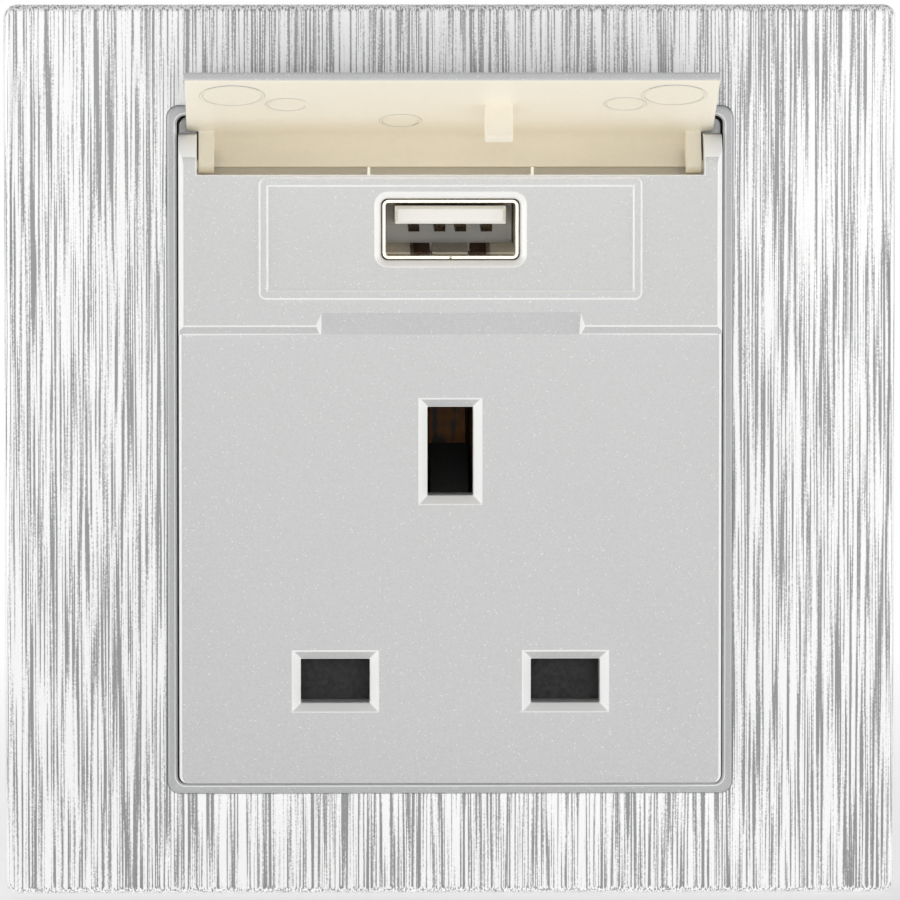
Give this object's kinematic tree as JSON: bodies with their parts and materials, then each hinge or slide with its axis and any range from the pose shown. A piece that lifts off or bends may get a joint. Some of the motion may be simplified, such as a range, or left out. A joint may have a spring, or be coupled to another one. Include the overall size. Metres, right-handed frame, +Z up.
{
  "type": "usb wall socket",
  "caption": "Square wall socket with a brushed silver plate, pin holes behind a sprung safety shutter, and a hinged flap over a USB port on a raised plinth",
  "frame": {"origin": "centre of the plate on the wall plane, midway between the two box screws", "axes": "+X to the right seen from the front, +Z up, the front faces -Y and the rear housing reaches into the wall along +Y"},
  "size_m": [0.086, 0.0499, 0.086],
  "materials": {
    "brushed_silver": "vertical brushed grain",
    "silver_plastic": "fine metallic silver, satin",
    "flap_plastic": "cream inside, silver outside",
    "plated_sheet": "bright nickel plate",
    "white_insulator": "moulded, satin",
    "gold_contact": "gold flash",
    "dark_plastic": "moulded, matt",
    "spring_wire": "drawn wire",
    "white_plastic": "moulded, matt",
    "contact_brass": "stamped, bare",
    "zinc_screw": "bright zinc plate",
    "green_board": "solder mask",
    "ferrite": "sintered, matt",
    "winding_tape": "polyester tape",
    "capacitor_sleeve": "shrink sleeve",
    "black_epoxy": "moulded epoxy",
    "fuse_body": "lacquered"
  },
  "bodies": {
    "base": {"brushed_panel": "brushed_silver", "front_frame": "silver_plastic", "socket_face": "silver_plastic", "usb_shell": "plated_sheet", "usb_tongue": "white_insulator", "usb_contacts": "gold_contact", "shutter_spring": "spring_wire", "inner_plate": "white_plastic", "mounting_plate": "white_plastic", "rear_housing": "white_plastic", "live_contact": "contact_brass", "neutral_contact": "contact_brass", "earth_contact": "contact_brass", "feed_strips": "contact_brass", "terminal_screws": "zinc_screw", "housing_screws": "zinc_screw", "usb_board": "green_board", "transformer_core": "ferrite", "transformer_winding": "winding_tape", "input_capacitors": "capacitor_sleeve", "output_capacitor": "capacitor_sleeve", "rectifier": "black_epoxy", "controller_chip": "black_epoxy", "fuse_resistor": "fuse_body"},
    "flap": {"usb_flap": "flap_plastic"},
    "shutter": {"shutter": "dark_plastic"}
  },
  "joints": [
    {"name": "flap_hinge", "type": "hinge", "parent": "base", "child": "flap", "pos_m": [0, -0.0088, 0.0275], "axis": [1, 0, 0], "range_deg": [0, 109]},
    {"name": "shutter_slide", "type": "slide", "parent": "base", "child": "shutter", "axis": [0, 0, -1], "range_m": [0, 0.005], "stiffness_N_per_m": 150, "springref_m": -0.006, "deforming": ["shutter_spring"]}
  ]
}
